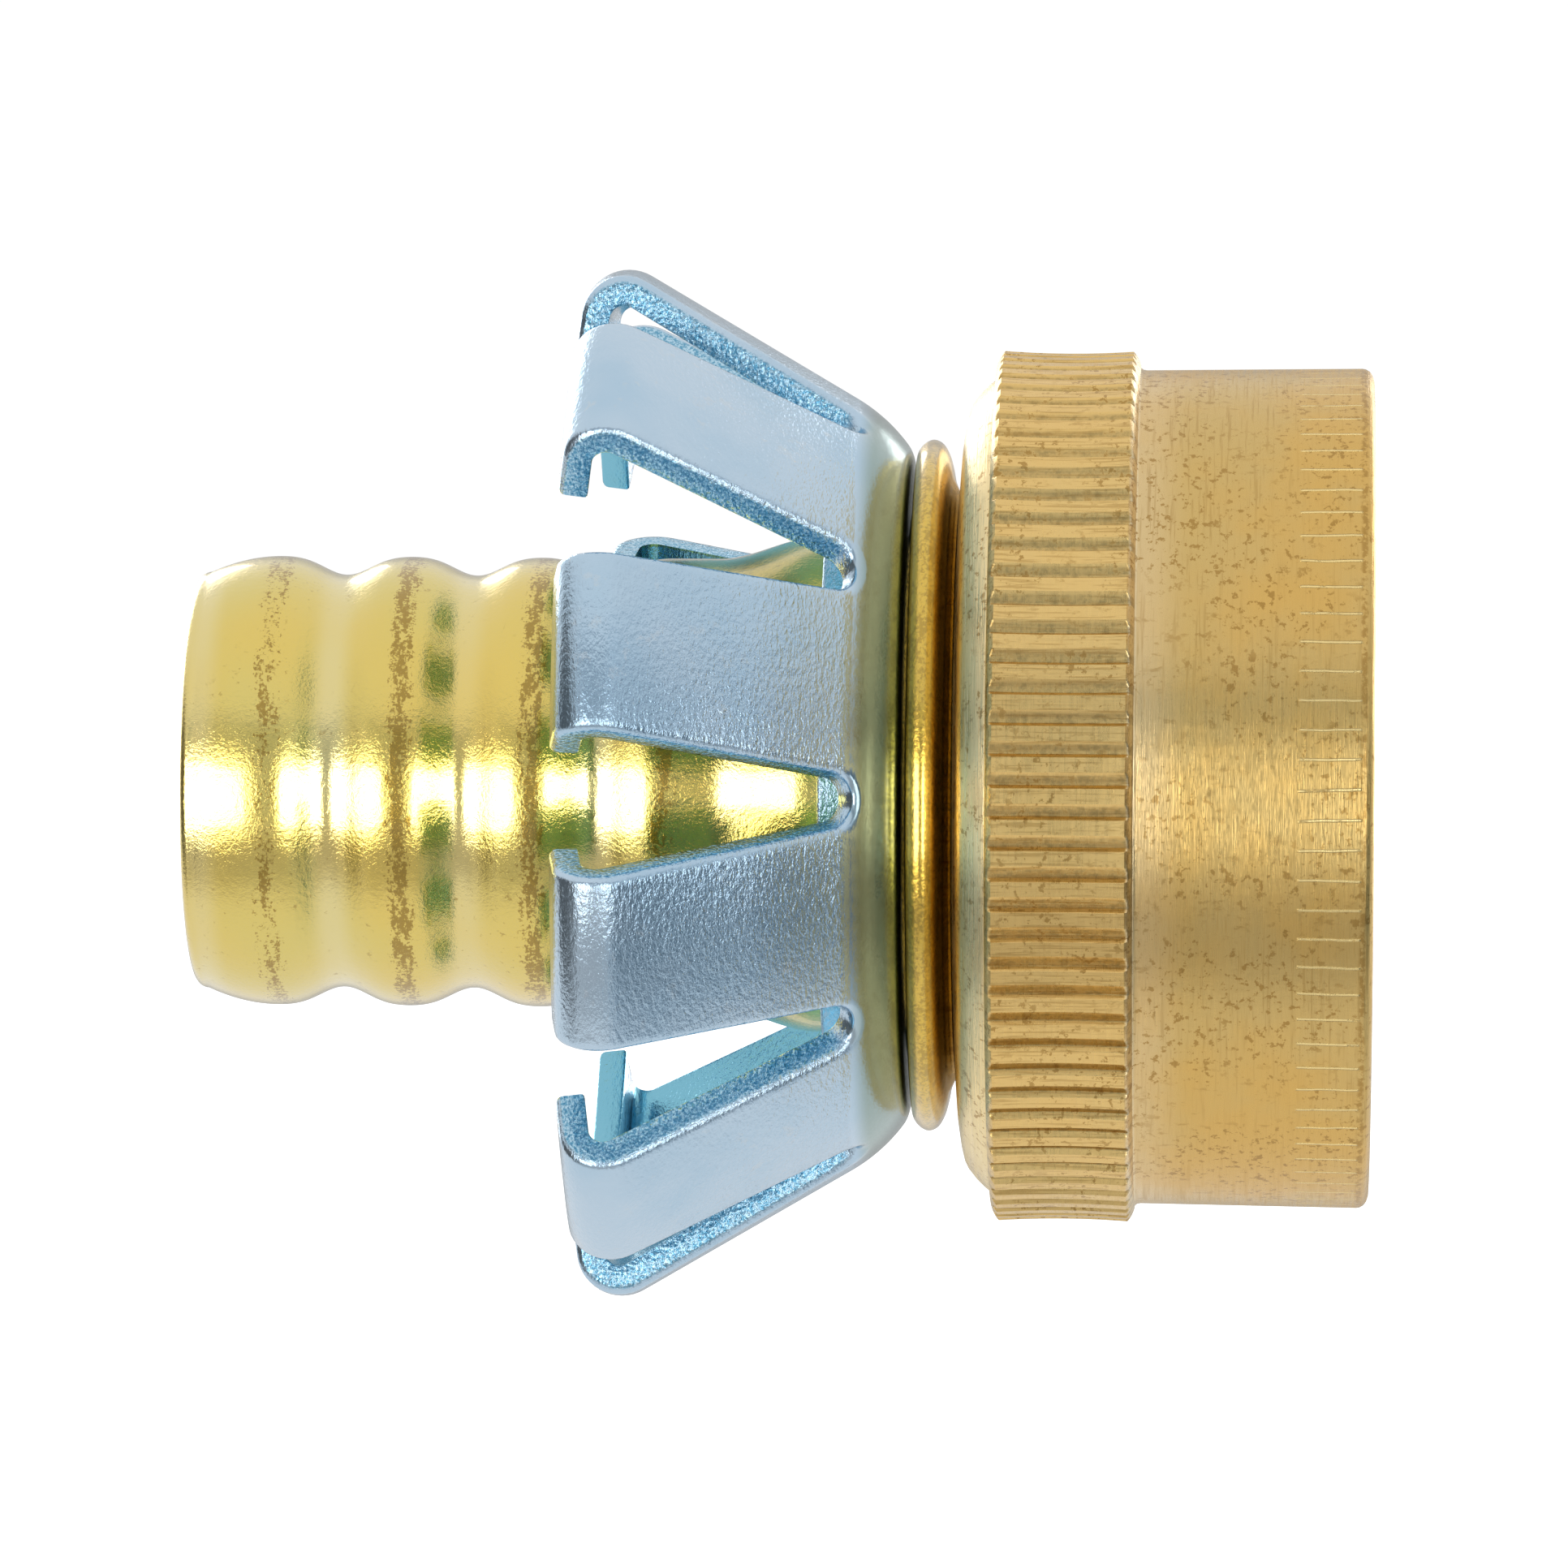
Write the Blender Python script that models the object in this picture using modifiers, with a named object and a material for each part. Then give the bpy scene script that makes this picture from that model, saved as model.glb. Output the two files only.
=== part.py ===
"""Clinch coupling for a garden hose: a barbed brass stem, a ten-fingered steel clinch ring,
a swivelling brass nut with a female hose thread, and the rubber washer inside the nut.

Frame: X runs along the water way and points out of the nut's mouth, Z is up, and the origin
is on the axis half way along the coupling. Lengths below are in millimetres, and MM turns
them into Blender's metres. Turned outlines are lists of (x, radius).
"""

import math

import bmesh
import bpy
from mathutils import Matrix, Vector

MM = 0.001

# Overall
HALF_LENGTH = 21.42
FIT_GAP = 0.12  # left between pieces that touch on the real coupling

# Barbed stem, drawn from brass tube
STEM_WALL = 0.75
BARB_MEAN_R = 7.88
BARB_SWING = 0.335  # first harmonic of the corrugation
BARB_CREST_FILL = 0.05  # second harmonic, which rounds the crests and tightens the valleys
BARB_PITCH = 4.78
FIRST_CREST_X = -18.43
NOSE_ARC_R = 5.6  # lead-in from the first crest to the stem's end
NOSE_EDGE_R = 0.42
LAST_CREST_X = FIRST_CREST_X + 3 * BARB_PITCH
FLARE_START_X = -2.40
FLARE_END_X = 1.30
NECK_R = 9.05
FOLD_LEFT_X = 4.83  # the folded collar that stops the clinch ring
FOLD_RIGHT_X = 6.22
FOLD_R = 12.62
FLANGE_LEFT_X = 8.30  # the flange that holds the nut on
FLANGE_R = 12.40
STEM_STEPS = 40

# Clinch ring, pressed from zinc-plated steel sheet
SHEET = 1.04
FINGERS = 10
FLARE_ANGLE = math.radians(30.4)
SHOULDER_R = 6.30 - SHEET / 2
SHOULDER_CENTRE = (-0.588, 8.676)
SHOULDER_END = math.radians(53.2)
CORNER_R = 1.20 - SHEET / 2
HUB_R = NECK_R + FIT_GAP + SHEET / 2
HUB_BEND_R = 0.70
HUB_END_X = 1.65
ROOT_TO_SHOULDER = 0.51  # straight length of finger that stays on the ring
FINGER_GAP = 0.30
SLOT_R = 0.94
SLOT_DEPTH = 0.60  # how far a slot's round end runs into the shoulder
TIP_CENTRE = (-5.742, 17.19)
TIP_R = 1.56 - SHEET / 2
LIP_ANGLE = math.radians(8.0)
LIP_LENGTH = 1.50
ROOT_HALF_WIDTH = 3.50
END_HALF_WIDTH = 3.24
HINGE_BELOW_MID = 0.45  # the bend's axis lies near the sheet's inner face
RING_STEPS = 50

# Swivel nut, turned from brass bar
BACK_X = 6.50
BACK_WALL = 1.55
NUT_BORE_R = 9.35
BAND_LEFT_X = 7.75
BAND_RIGHT_X = 12.93
BAND_R = 15.88
BAND_DISH = 0.10  # the knurled band is a little hollow along its length
SKIRT_R = 15.19
SKIRT_MOUTH_R = 15.29
TEETH = 90
TOOTH_DEPTH = 0.28
TOOTH_PHASE = math.radians(0.6)
THREAD_PITCH = 25.4 / 11.5
THREAD_MINOR_R = 12.25
THREAD_MAJOR_R = 13.62
THREAD_RELIEF_R = 13.72
THREAD_START_X = 12.45
THREAD_TURNS = 5
NUT_STEPS = 60

# Hose washer
WASHER_LEFT_X = 9.20
WASHER_THICKNESS = 3.05
WASHER_R = 12.10
WASHER_BORE_R = 8.00
WASHER_EDGE_R = 0.35


def arc(centre, radius, start, end, count):
    """Points on a circle, where angle 0 points along +r and 90 degrees along +X."""
    points = []
    for i in range(count + 1):
        a = start + (end - start) * i / count
        points.append((centre[0] + radius * math.sin(a), centre[1] + radius * math.cos(a)))
    return points


def material(name, colour, roughness, metallic):
    made = bpy.data.materials.new(name)
    made.use_nodes = True
    shader = made.node_tree.nodes["Principled BSDF"]
    shader.inputs["Base Color"].default_value = (*colour, 1.0)
    shader.inputs["Roughness"].default_value = roughness
    shader.inputs["Metallic"].default_value = metallic
    return made


def mesh_object(name, mesh, group, paint=None):
    made = bpy.data.objects.new(name, mesh)
    group.objects.link(made)
    if paint:
        mesh.materials.append(paint)
    return made


def cutter_settings(made):
    made.hide_render = True
    made.display_type = "WIRE"
    return made


def outline_mesh(name, outline, closed):
    """A wire in the XZ plane, ready for a Screw modifier about X."""
    edges = [(i, i + 1) for i in range(len(outline) - 1)]
    if closed:
        edges.append((len(outline) - 1, 0))
    mesh = bpy.data.meshes.new(name)
    mesh.from_pydata([(x * MM, 0.0, r * MM) for x, r in outline], edges, [])
    return mesh


def add_screw(made, steps, turns=1, advance=0.0):
    screw = made.modifiers.new("Turn", "SCREW")
    screw.axis = "X"
    screw.steps = steps
    screw.render_steps = steps
    screw.iterations = turns
    screw.screw_offset = advance * MM
    screw.use_merge_vertices = advance == 0.0
    screw.merge_threshold = 0.000005
    screw.use_smooth_shade = False
    return screw


def turned(name, outline, steps, group, paint):
    """A solid of revolution from a closed outline that runs anticlockwise, seen with X right and r up."""
    made = mesh_object(name, outline_mesh(name, outline, closed=True), group, paint)
    add_screw(made, steps)
    return made


def add_cut(made, cutter):
    cut = made.modifiers.new("Cut", "BOOLEAN")
    cut.operation = "DIFFERENCE"
    cut.solver = "EXACT"
    cut.object = cutter


# ---------------------------------------------------------------- barbed stem


def barb_radius(x):
    """Outer radius of the stem between its nose and the nut."""
    if x < FIRST_CREST_X:
        crest = BARB_MEAN_R + BARB_SWING
        return crest - (FIRST_CREST_X - x) ** 2 / (2 * NOSE_ARC_R)
    if x < LAST_CREST_X:
        phase = 2 * math.pi * (x - FIRST_CREST_X) / BARB_PITCH
        fill = BARB_CREST_FILL * (1 - math.cos(2 * phase))
        return BARB_MEAN_R + BARB_SWING * math.cos(phase) + fill
    t = min(max((x - FLARE_START_X) / (FLARE_END_X - FLARE_START_X), 0.0), 1.0)
    ease = t * t * (3 - 2 * t)
    crest = BARB_MEAN_R + BARB_SWING
    return crest + (NECK_R - crest) * ease


def barb_stations():
    """X positions along the stem, close together on the corrugations."""
    nose = [-HALF_LENGTH + NOSE_EDGE_R, -20.2, -19.3]
    barbs = [FIRST_CREST_X + BARB_PITCH * i / 6 for i in range(19)]
    flare = [FLARE_START_X, -1.5, -0.6, 0.3, FLARE_END_X]
    return nose + barbs + flare


def make_stem(group, paint):
    stations = barb_stations()
    nose_x = -HALF_LENGTH + NOSE_EDGE_R
    nose_r = barb_radius(nose_x) - NOSE_EDGE_R
    nose = arc((nose_x, nose_r), NOSE_EDGE_R, -math.pi / 2, 0, 3)
    fold_mid_x = (FOLD_LEFT_X + FOLD_RIGHT_X) / 2
    fold_round = (FOLD_RIGHT_X - FOLD_LEFT_X) / 2
    crest = arc((fold_mid_x, FOLD_R - fold_round), fold_round, -math.pi / 2, math.pi / 2, 6)
    outer = nose + [(x, barb_radius(x)) for x in stations[1:]]
    outer += [(FOLD_LEFT_X, NECK_R)] + crest
    outer += [(FOLD_RIGHT_X, NECK_R), (FLANGE_LEFT_X, NECK_R), (FLANGE_LEFT_X, FLANGE_R)]
    flange_right_x = FLANGE_LEFT_X + STEM_WALL
    bore_r = NECK_R - STEM_WALL
    mouth_r = 0.8
    mouth_centre = (flange_right_x - mouth_r, bore_r + mouth_r)
    mouth = arc(mouth_centre, mouth_r, math.pi / 2, math.pi, 3)
    inner = [(flange_right_x, FLANGE_R)] + mouth
    inner += [(x, barb_radius(x) - STEM_WALL) for x in stations[::-2]]
    inner.append((-HALF_LENGTH, nose_r - (STEM_WALL - NOSE_EDGE_R)))
    return turned("barbed_stem", (outer + inner)[::-1], STEM_STEPS, group, paint)


# ---------------------------------------------------------------- clinch ring


def along_flare(start, distance):
    """The point that far towards the fingertips from start, on the flared part of the sheet."""
    return (
        start[0] - distance * math.cos(FLARE_ANGLE),
        start[1] + distance * math.sin(FLARE_ANGLE),
    )


def shoulder_start():
    return (
        SHOULDER_CENTRE[0] + SHOULDER_R * math.sin(FLARE_ANGLE),
        SHOULDER_CENTRE[1] + SHOULDER_R * math.cos(FLARE_ANGLE),
    )


def hinge_point():
    """Where a finger's bending axis crosses its middle plane."""
    middle = along_flare(shoulder_start(), ROOT_TO_SHOULDER + FINGER_GAP / 2)
    return (
        middle[0] - HINGE_BELOW_MID * math.sin(FLARE_ANGLE),
        middle[1] - HINGE_BELOW_MID * math.cos(FLARE_ANGLE),
    )


def ring_middle_outline():
    """Middle of the sheet, from the finger roots over the shoulder and plate to the hub's end."""
    shoulder = arc(SHOULDER_CENTRE, SHOULDER_R, FLARE_ANGLE, SHOULDER_END, 4)
    corner_centre = (
        shoulder[-1][0] - CORNER_R * math.sin(SHOULDER_END),
        shoulder[-1][1] - CORNER_R * math.cos(SHOULDER_END),
    )
    corner = arc(corner_centre, CORNER_R, SHOULDER_END, math.pi / 2, 3)
    plate_x = corner[-1][0]
    bend_centre = (plate_x - HUB_BEND_R, HUB_R + HUB_BEND_R)
    bend = arc(bend_centre, HUB_BEND_R, math.pi / 2, math.pi, 4)
    root = along_flare(shoulder_start(), ROOT_TO_SHOULDER)
    return [root] + shoulder + corner[1:] + bend + [(HUB_END_X, HUB_R)]


def finger_middle_outline():
    """Middle of the sheet, from a finger's root over its bent tip to the end of its lip."""
    root = along_flare(shoulder_start(), ROOT_TO_SHOULDER + FINGER_GAP)
    tip = arc(TIP_CENTRE, TIP_R, FLARE_ANGLE, -math.pi / 2 + LIP_ANGLE, 6)
    run = math.dist(root, tip[0])
    shank = [along_flare(root, run * i / 4) for i in range(4)]
    end = (
        tip[-1][0] - LIP_LENGTH * math.sin(LIP_ANGLE),
        tip[-1][1] - LIP_LENGTH * math.cos(LIP_ANGLE),
    )
    return shank + tip + [end]


def slot_cutter_mesh():
    """Ten round-ended prisms, each standing square to the sheet where a slot ends."""
    shoulder_turn = SLOT_DEPTH / SHOULDER_R
    end_angle = FLARE_ANGLE + shoulder_turn
    end = (
        SHOULDER_CENTRE[0] + SHOULDER_R * math.sin(end_angle),
        SHOULDER_CENTRE[1] + SHOULDER_R * math.cos(end_angle),
    )
    made = bmesh.new()
    for i in range(FINGERS):
        outline = [(-4.0, -SLOT_R), (-4.0, SLOT_R)]
        for k in range(9):
            a = math.pi / 2 - math.pi * k / 8
            outline.append((-SLOT_R + SLOT_R * math.cos(a), SLOT_R * math.sin(a)))
        face = made.faces.new([made.verts.new((u * MM, v * MM, -2.5 * MM)) for u, v in outline])
        swept = bmesh.ops.extrude_face_region(made, geom=[face])
        tops = [v for v in swept["geom"] if isinstance(v, bmesh.types.BMVert)]
        bmesh.ops.translate(made, verts=tops, vec=(0, 0, 5.0 * MM))
        prism = tops + list(face.verts)
        place = (
            Matrix.Rotation(math.pi / FINGERS + 2 * math.pi * i / FINGERS, 4, "X")
            @ Matrix.Translation((end[0] * MM, 0, end[1] * MM))
            @ Matrix.Rotation(FLARE_ANGLE, 4, "Y")
        )
        bmesh.ops.transform(made, matrix=place, verts=prism)
    bmesh.ops.recalc_face_normals(made, faces=made.faces)
    mesh = bpy.data.meshes.new("slot_cutter")
    made.to_mesh(mesh)
    made.free()
    return mesh


def add_thickness(made):
    shell = made.modifiers.new("Sheet", "SOLIDIFY")
    shell.thickness = SHEET * MM
    shell.offset = 0.0
    shell.use_even_offset = True


def make_ring_base(group, cutters, paint):
    mesh = outline_mesh("clinch_ring", ring_middle_outline(), closed=False)
    made = mesh_object("clinch_ring", mesh, group, paint)
    add_screw(made, RING_STEPS)
    add_thickness(made)
    cutter = mesh_object("slot_cutter", slot_cutter_mesh(), cutters)
    add_cut(made, cutter_settings(cutter))
    return made


def finger_mesh():
    """The finger that points up, as an open surface with its origin on its bending axis."""
    outline = finger_middle_outline()
    hinge = hinge_point()
    across = 4
    made = bmesh.new()
    bmesh.ops.create_grid(made, x_segments=len(outline) - 1, y_segments=across, size=0.5)
    for vert in made.verts:
        row = round((vert.co.x + 0.5) * (len(outline) - 1))
        side = 2 * vert.co.y
        x, r = outline[row]
        share = min((outline[0][0] - x) / (outline[0][0] - outline[-1][0]), 1.0)
        half_width = ROOT_HALF_WIDTH + (END_HALF_WIDTH - ROOT_HALF_WIDTH) * share
        turn = math.asin(half_width / r) * side
        vert.co = (
            (x - hinge[0]) * MM,
            r * math.sin(turn) * MM,
            (r * math.cos(turn) - hinge[1]) * MM,
        )
    bmesh.ops.recalc_face_normals(made, faces=made.faces)
    mesh = bpy.data.meshes.new("clinch_finger")
    made.to_mesh(mesh)
    made.free()
    return mesh


def make_fingers(group, paint):
    mesh = finger_mesh()
    mesh.materials.append(paint)
    hinge = hinge_point()
    for i in range(FINGERS):
        made = mesh_object(f"clinch_finger_{i + 1:02d}", mesh, group)
        turn = Matrix.Rotation(2 * math.pi * i / FINGERS, 4, "X")
        made.matrix_world = turn @ Matrix.Translation((hinge[0] * MM, 0, hinge[1] * MM))
        add_thickness(made)


# ---------------------------------------------------------------- swivel nut


def nut_outline():
    back_inner_x = BACK_X + BACK_WALL
    band_mid_x = (BAND_LEFT_X + BAND_RIGHT_X) / 2
    outside = [
        (BACK_X, NUT_BORE_R),
        (BACK_X, 10.80),
        (6.80, 13.70),
        (6.95, 14.05),
        (7.70, 14.82),
        (BAND_LEFT_X, 15.45),
        (BAND_LEFT_X + 0.35, BAND_R),
        (band_mid_x, BAND_R - BAND_DISH),
        (BAND_RIGHT_X - 0.35, BAND_R - 0.02),
        (BAND_RIGHT_X, 15.55),
        (BAND_RIGHT_X, SKIRT_R),
        (HALF_LENGTH - 0.40, SKIRT_MOUTH_R),
        (HALF_LENGTH - 0.13, SKIRT_MOUTH_R - 0.12),
        (HALF_LENGTH, SKIRT_MOUTH_R - 0.45),
    ]
    lead_in = THREAD_RELIEF_R - THREAD_MINOR_R
    inside = [
        (HALF_LENGTH, THREAD_RELIEF_R),
        (HALF_LENGTH - lead_in, THREAD_MINOR_R),
        (THREAD_START_X + lead_in * 0.5, THREAD_MINOR_R),
        (THREAD_START_X, THREAD_RELIEF_R),
        (back_inner_x, THREAD_RELIEF_R),
        (back_inner_x, NUT_BORE_R),
    ]
    return (outside + inside)[::-1]


def tooth_cutter_mesh():
    """The V grooves between the knurled band's teeth, one prism for each."""
    top_r = BAND_R + 0.04
    pitch_angle = 2 * math.pi / TEETH
    groove_slope = 0.49 * BAND_R * pitch_angle / TOOTH_DEPTH
    half_top = groove_slope * (TOOTH_DEPTH + 0.04) * 0.98
    bottom_r = BAND_R - TOOTH_DEPTH
    ends = (BAND_LEFT_X - 0.4, BAND_RIGHT_X + 0.4)
    made = bmesh.new()
    for i in range(TEETH):
        turn = Matrix.Rotation(TOOTH_PHASE + (i + 0.5) * pitch_angle, 4, "X")
        section = [(-half_top, top_r), (half_top, top_r), (0.0, bottom_r)]
        rings = [
            [made.verts.new(turn @ Vector((x * MM, y * MM, z * MM))) for y, z in section]
            for x in ends
        ]
        made.faces.new(rings[0])
        made.faces.new(rings[1][::-1])
        for k in range(3):
            n = (k + 1) % 3
            made.faces.new((rings[0][n], rings[0][k], rings[1][k], rings[1][n]))
    bmesh.ops.recalc_face_normals(made, faces=made.faces)
    mesh = bpy.data.meshes.new("tooth_cutter")
    made.to_mesh(mesh)
    made.free()
    return mesh


def make_thread_cutter(group):
    """A helical V cutter that starts in the relief groove and runs out through the mouth."""
    slope = math.tan(math.radians(30))
    depth = THREAD_MAJOR_R - THREAD_MINOR_R
    inner_r = THREAD_MINOR_R - 0.3
    root = 0.14
    foot = root + (depth + 0.3) * slope
    start_x = THREAD_START_X - 0.95
    section = [
        (start_x - foot, inner_r),
        (start_x + foot, inner_r),
        (start_x + root, THREAD_MAJOR_R),
        (start_x - root, THREAD_MAJOR_R),
    ]
    made = mesh_object("thread_cutter", outline_mesh("thread_cutter", section, closed=True), group)
    add_screw(made, 36, THREAD_TURNS, THREAD_PITCH)
    graph = bpy.context.evaluated_depsgraph_get()
    mesh = bpy.data.meshes.new_from_object(made.evaluated_get(graph))
    made.modifiers.clear()
    made.data = mesh
    work = bmesh.new()
    work.from_mesh(mesh)
    bmesh.ops.holes_fill(work, edges=work.edges, sides=4)
    bmesh.ops.recalc_face_normals(work, faces=work.faces)
    work.to_mesh(mesh)
    work.free()
    return cutter_settings(made)


def make_nut(group, cutters, paint):
    made = turned("swivel_nut", nut_outline(), NUT_STEPS, group, paint)
    teeth = mesh_object("tooth_cutter", tooth_cutter_mesh(), cutters)
    add_cut(made, cutter_settings(teeth))
    add_cut(made, make_thread_cutter(cutters))
    return made


# ---------------------------------------------------------------- hose washer


def make_washer(group, paint):
    right_x = WASHER_LEFT_X + WASHER_THICKNESS
    corners = [
        (WASHER_LEFT_X, WASHER_BORE_R, -1, -1),
        (right_x, WASHER_BORE_R, 1, -1),
        (right_x, WASHER_R, 1, 1),
        (WASHER_LEFT_X, WASHER_R, -1, 1),
    ]
    outline = []
    for x, r, side, out in corners:
        first = (x - side * WASHER_EDGE_R, r)
        second = (x, r - out * WASHER_EDGE_R)
        outline += [first, second] if side * out < 0 else [second, first]
    return turned("hose_washer", outline, 40, group, paint)


def main():
    for old in list(bpy.data.objects):
        bpy.data.objects.remove(old)
    group = bpy.data.collections.new("hose_coupling")
    cutters = bpy.data.collections.new("cutters")
    bpy.context.scene.collection.children.link(group)
    bpy.context.scene.collection.children.link(cutters)
    stem_brass = material("stem_brass", (0.80, 0.62, 0.22), 0.22, 1.0)
    nut_brass = material("nut_brass", (0.72, 0.52, 0.25), 0.38, 1.0)
    zinc = material("zinc_plated_steel", (0.66, 0.74, 0.82), 0.32, 1.0)
    rubber = material("washer_rubber", (0.03, 0.03, 0.03), 0.65, 0.0)
    make_stem(group, stem_brass)
    make_ring_base(group, cutters, zinc)
    make_fingers(group, zinc)
    make_nut(group, cutters, nut_brass)
    make_washer(group, rubber)


main()
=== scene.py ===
"""Looks of the clinch coupling: finer shapes, brass, zinc and rubber finishes, light and camera.

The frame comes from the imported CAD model. X runs along the water way and out of the nut's
mouth, and Z is up. Lengths are in millimetres, and MM turns them into Blender's metres.
Angles about X start at the top and turn towards -Y, the side that the camera is on.
Outlines of turned pieces are lists of (x, radius).
"""

import math

import bmesh
import bpy
import numpy as np
from mathutils import Matrix, Vector


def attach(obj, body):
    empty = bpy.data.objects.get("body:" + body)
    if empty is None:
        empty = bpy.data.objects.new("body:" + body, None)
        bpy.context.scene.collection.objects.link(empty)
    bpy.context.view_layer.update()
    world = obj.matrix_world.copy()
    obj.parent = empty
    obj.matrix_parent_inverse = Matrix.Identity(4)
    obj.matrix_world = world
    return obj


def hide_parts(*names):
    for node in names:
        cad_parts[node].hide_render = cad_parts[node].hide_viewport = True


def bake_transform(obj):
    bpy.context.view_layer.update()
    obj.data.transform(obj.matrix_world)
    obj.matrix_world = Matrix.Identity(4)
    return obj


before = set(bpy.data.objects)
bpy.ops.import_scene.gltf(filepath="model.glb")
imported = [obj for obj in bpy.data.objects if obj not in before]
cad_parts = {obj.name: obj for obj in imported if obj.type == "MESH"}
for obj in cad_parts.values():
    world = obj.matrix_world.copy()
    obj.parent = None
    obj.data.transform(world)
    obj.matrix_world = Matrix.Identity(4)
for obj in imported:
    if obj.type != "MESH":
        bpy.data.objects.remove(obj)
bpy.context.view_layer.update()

MM = 0.001
TURN = 2 * math.pi

# Clinch ring, with the CAD part's own sheet outline
SHEET = 1.04
FINGERS = 10
FLARE = math.radians(30.4)
SHOULDER_R = 6.30 - SHEET / 2
SHOULDER_END = math.radians(53.2)
CORNER_R = 1.20 - SHEET / 2
TIP_CENTRE = (-5.742, 17.19)
TIP_R = 1.56 - SHEET / 2
LIP_TILT = math.radians(8.0)
LIP_LENGTH = 1.50
SHANK_LENGTH = 8.754
PLATE_LENGTH = 1.341
HUB_BEND_R = 0.70
HUB_LENGTH = 1.826
SLOT_R = 0.94
SLOT_DEPTH = 0.60
SLOT_OPENING = math.radians(79.7)  # arc of the slot's round end, from its middle
TIP_HALF_WIDTH = 3.26
RIM_R = 0.27  # the edge that the punch rolled over
BACK_EDGE_R = 0.06
SLOT_BORDER = 0.60
HUB_END_ROUND = 0.15
LIP_END_ROUND = 0.12
SEAM = 0.36  # the fingers are pieces of their own from here
BEND_START = 0.40  # two places on each finger's sheet, measured back from the shoulder's end
BEND_END = 1.15
FINE_SHANK_END = 1.30  # the shank has closer rows up to here
PLATED_SHARP = 40  # degrees; edges that turn more than this are drawn sharp
WELD = 0.0001

# Barbed stem
STEM_WALL = 0.75
HALF_LENGTH = 21.42
BARB_MEAN_R = 7.88
BARB_SWING = 0.335
BARB_CREST_FILL = 0.05
BARB_PITCH = 4.78
FIRST_CREST_X = -18.43
LAST_CREST_X = FIRST_CREST_X + 3 * BARB_PITCH
NOSE_ARC_R = 5.6
NOSE_EDGE_R = 0.42
NOSE_BORE_EDGE_R = 0.20
FLARE_START_X = -2.40
FLARE_END_X = 1.30
NECK_R = 9.05
NECK_END = [(4.72, NECK_R), (4.81, 9.15)]
COLLAR = [(4.84, 9.60), (4.84, 11.80), (4.95, 12.32), (5.34, 12.61), (5.72, 12.50), (5.97, 12.11),
          (6.11, 11.62), (6.20, 11.15), (6.34, 10.80)]
COLLAR_STEPS = 6
COLLAR_BACK = [(6.42, 10.72), (6.43, 10.60), (6.43, 9.30), (6.45, NECK_R)]
FLANGE_END_X = 9.05
FLANGE = [(8.10, NECK_R), (8.22, 9.10), (8.30, 9.30), (8.30, 12.25), (8.36, 12.37), (8.50, 12.40),
          (8.85, 12.40), (8.99, 12.34), (FLANGE_END_X, 12.2)]
BORE_MOUTH_R = 0.80
TARNISH_SHIFT = 0.15  # the bands of tarnish lie this far from the crests
STEM_STEPS = 224
STEM_STATION = 0.14

# Swivel nut
TEETH = 90
LAND = 0.48  # share of a knurl tooth's pitch that is flat on top
GROOVE_DEPTH = 0.21
GROOVE_WALL = 0.90  # the groove deepens up to here, and then a steep wall closes it
GROOVE_END = 0.99
BAND_LEFT_X = 7.75
BAND_RIGHT_X = 12.93
BAND_R = 15.88
BAND_DISH = 0.10
BORE_SHARE = 3  # the bore has one point for every three round the outside
THREAD_PITCH = 25.4 / 11.5
THREAD_MINOR_R = 12.30
THREAD_MAJOR_R = 13.62
THREAD_CREST = 0.10  # how far the flanks would meet past the major radius
THREAD_RELIEF_R = 13.72
THREAD_START_X = 12.45
THREAD_STATION = 0.09
THREAD_LEAD = 1.40
MOUTH_R = 14.2
NUT_SHOULDER = [(6.50, 10.8), (6.51, 11.8), (6.58, 12.7), (6.68, 13.35), (6.78, 13.76), (6.90, 14.0),
                (7.20, 14.38), (7.50, 14.67), (7.66, 14.80), (BAND_LEFT_X, 14.86)]
BAND_EDGE = [(BAND_LEFT_X, 15.40), (7.79, 15.52), (7.84, 15.63), (7.89, 15.72), (7.94, 15.79),
             (8.00, 15.86), (8.07, 15.92), (8.15, 15.96)]
BAND_FLAT = [(x, BAND_R + 0.03) for x in np.linspace(8.35, 12.33, 7)]
SKIRT = [(BAND_RIGHT_X, 15.36), (12.96, 15.27), (13.04, 15.21), (13.16, 15.19), (17.0, 15.24),
         (21.00, 15.29), (21.12, 15.27), (21.26, 15.19), (21.36, 15.05), (HALF_LENGTH, 14.86)]
NUT_INSIDE = [(THREAD_START_X, THREAD_RELIEF_R), (8.25, THREAD_RELIEF_R), (8.11, 13.66), (8.05, 13.5),
              (8.05, 9.47), (7.93, 9.35), (6.62, 9.35), (6.50, 9.47)]
NUT_SHARP = 30

# Hose washer
WASHER_LEFT_X = 9.20
WASHER_RIGHT_X = 12.25
WASHER_R = 12.10
WASHER_BORE_R = 8.00
WASHER_EDGE_R = 0.35
WASHER_STEPS = 144

# Colours of the finishes
STEM_GOLD = (0.80, 0.59, 0.13, 1)
STEM_LEMON = (0.74, 0.60, 0.165, 1)
STEM_VALLEY_PALE = (0.84, 0.75, 0.44, 1)
STEM_TARNISH = (0.40, 0.255, 0.035, 1)
COLLAR_GOLD = (0.74, 0.50, 0.075, 1)
NUT_GOLD = (0.71, 0.45, 0.135, 1)
NUT_YELLOW = (0.66, 0.46, 0.17, 1)
NUT_PALE = (0.80, 0.62, 0.36, 1)
NUT_TARNISH = (0.38, 0.21, 0.05, 1)
SHOULDER_PALE = (0.97, 0.80, 0.45, 1)
KNURL_GOLD = (0.88, 0.62, 0.25, 1)
KNURL_EDGE = (0.92, 0.78, 0.52, 1)
# Knurl grooves: dirt and painted shade
KNURL_DIRT_AND_SHADE = (0.17, 0.135, 0.06, 1)
SCORE_GOLD = (0.98, 0.76, 0.34, 1)
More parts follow.
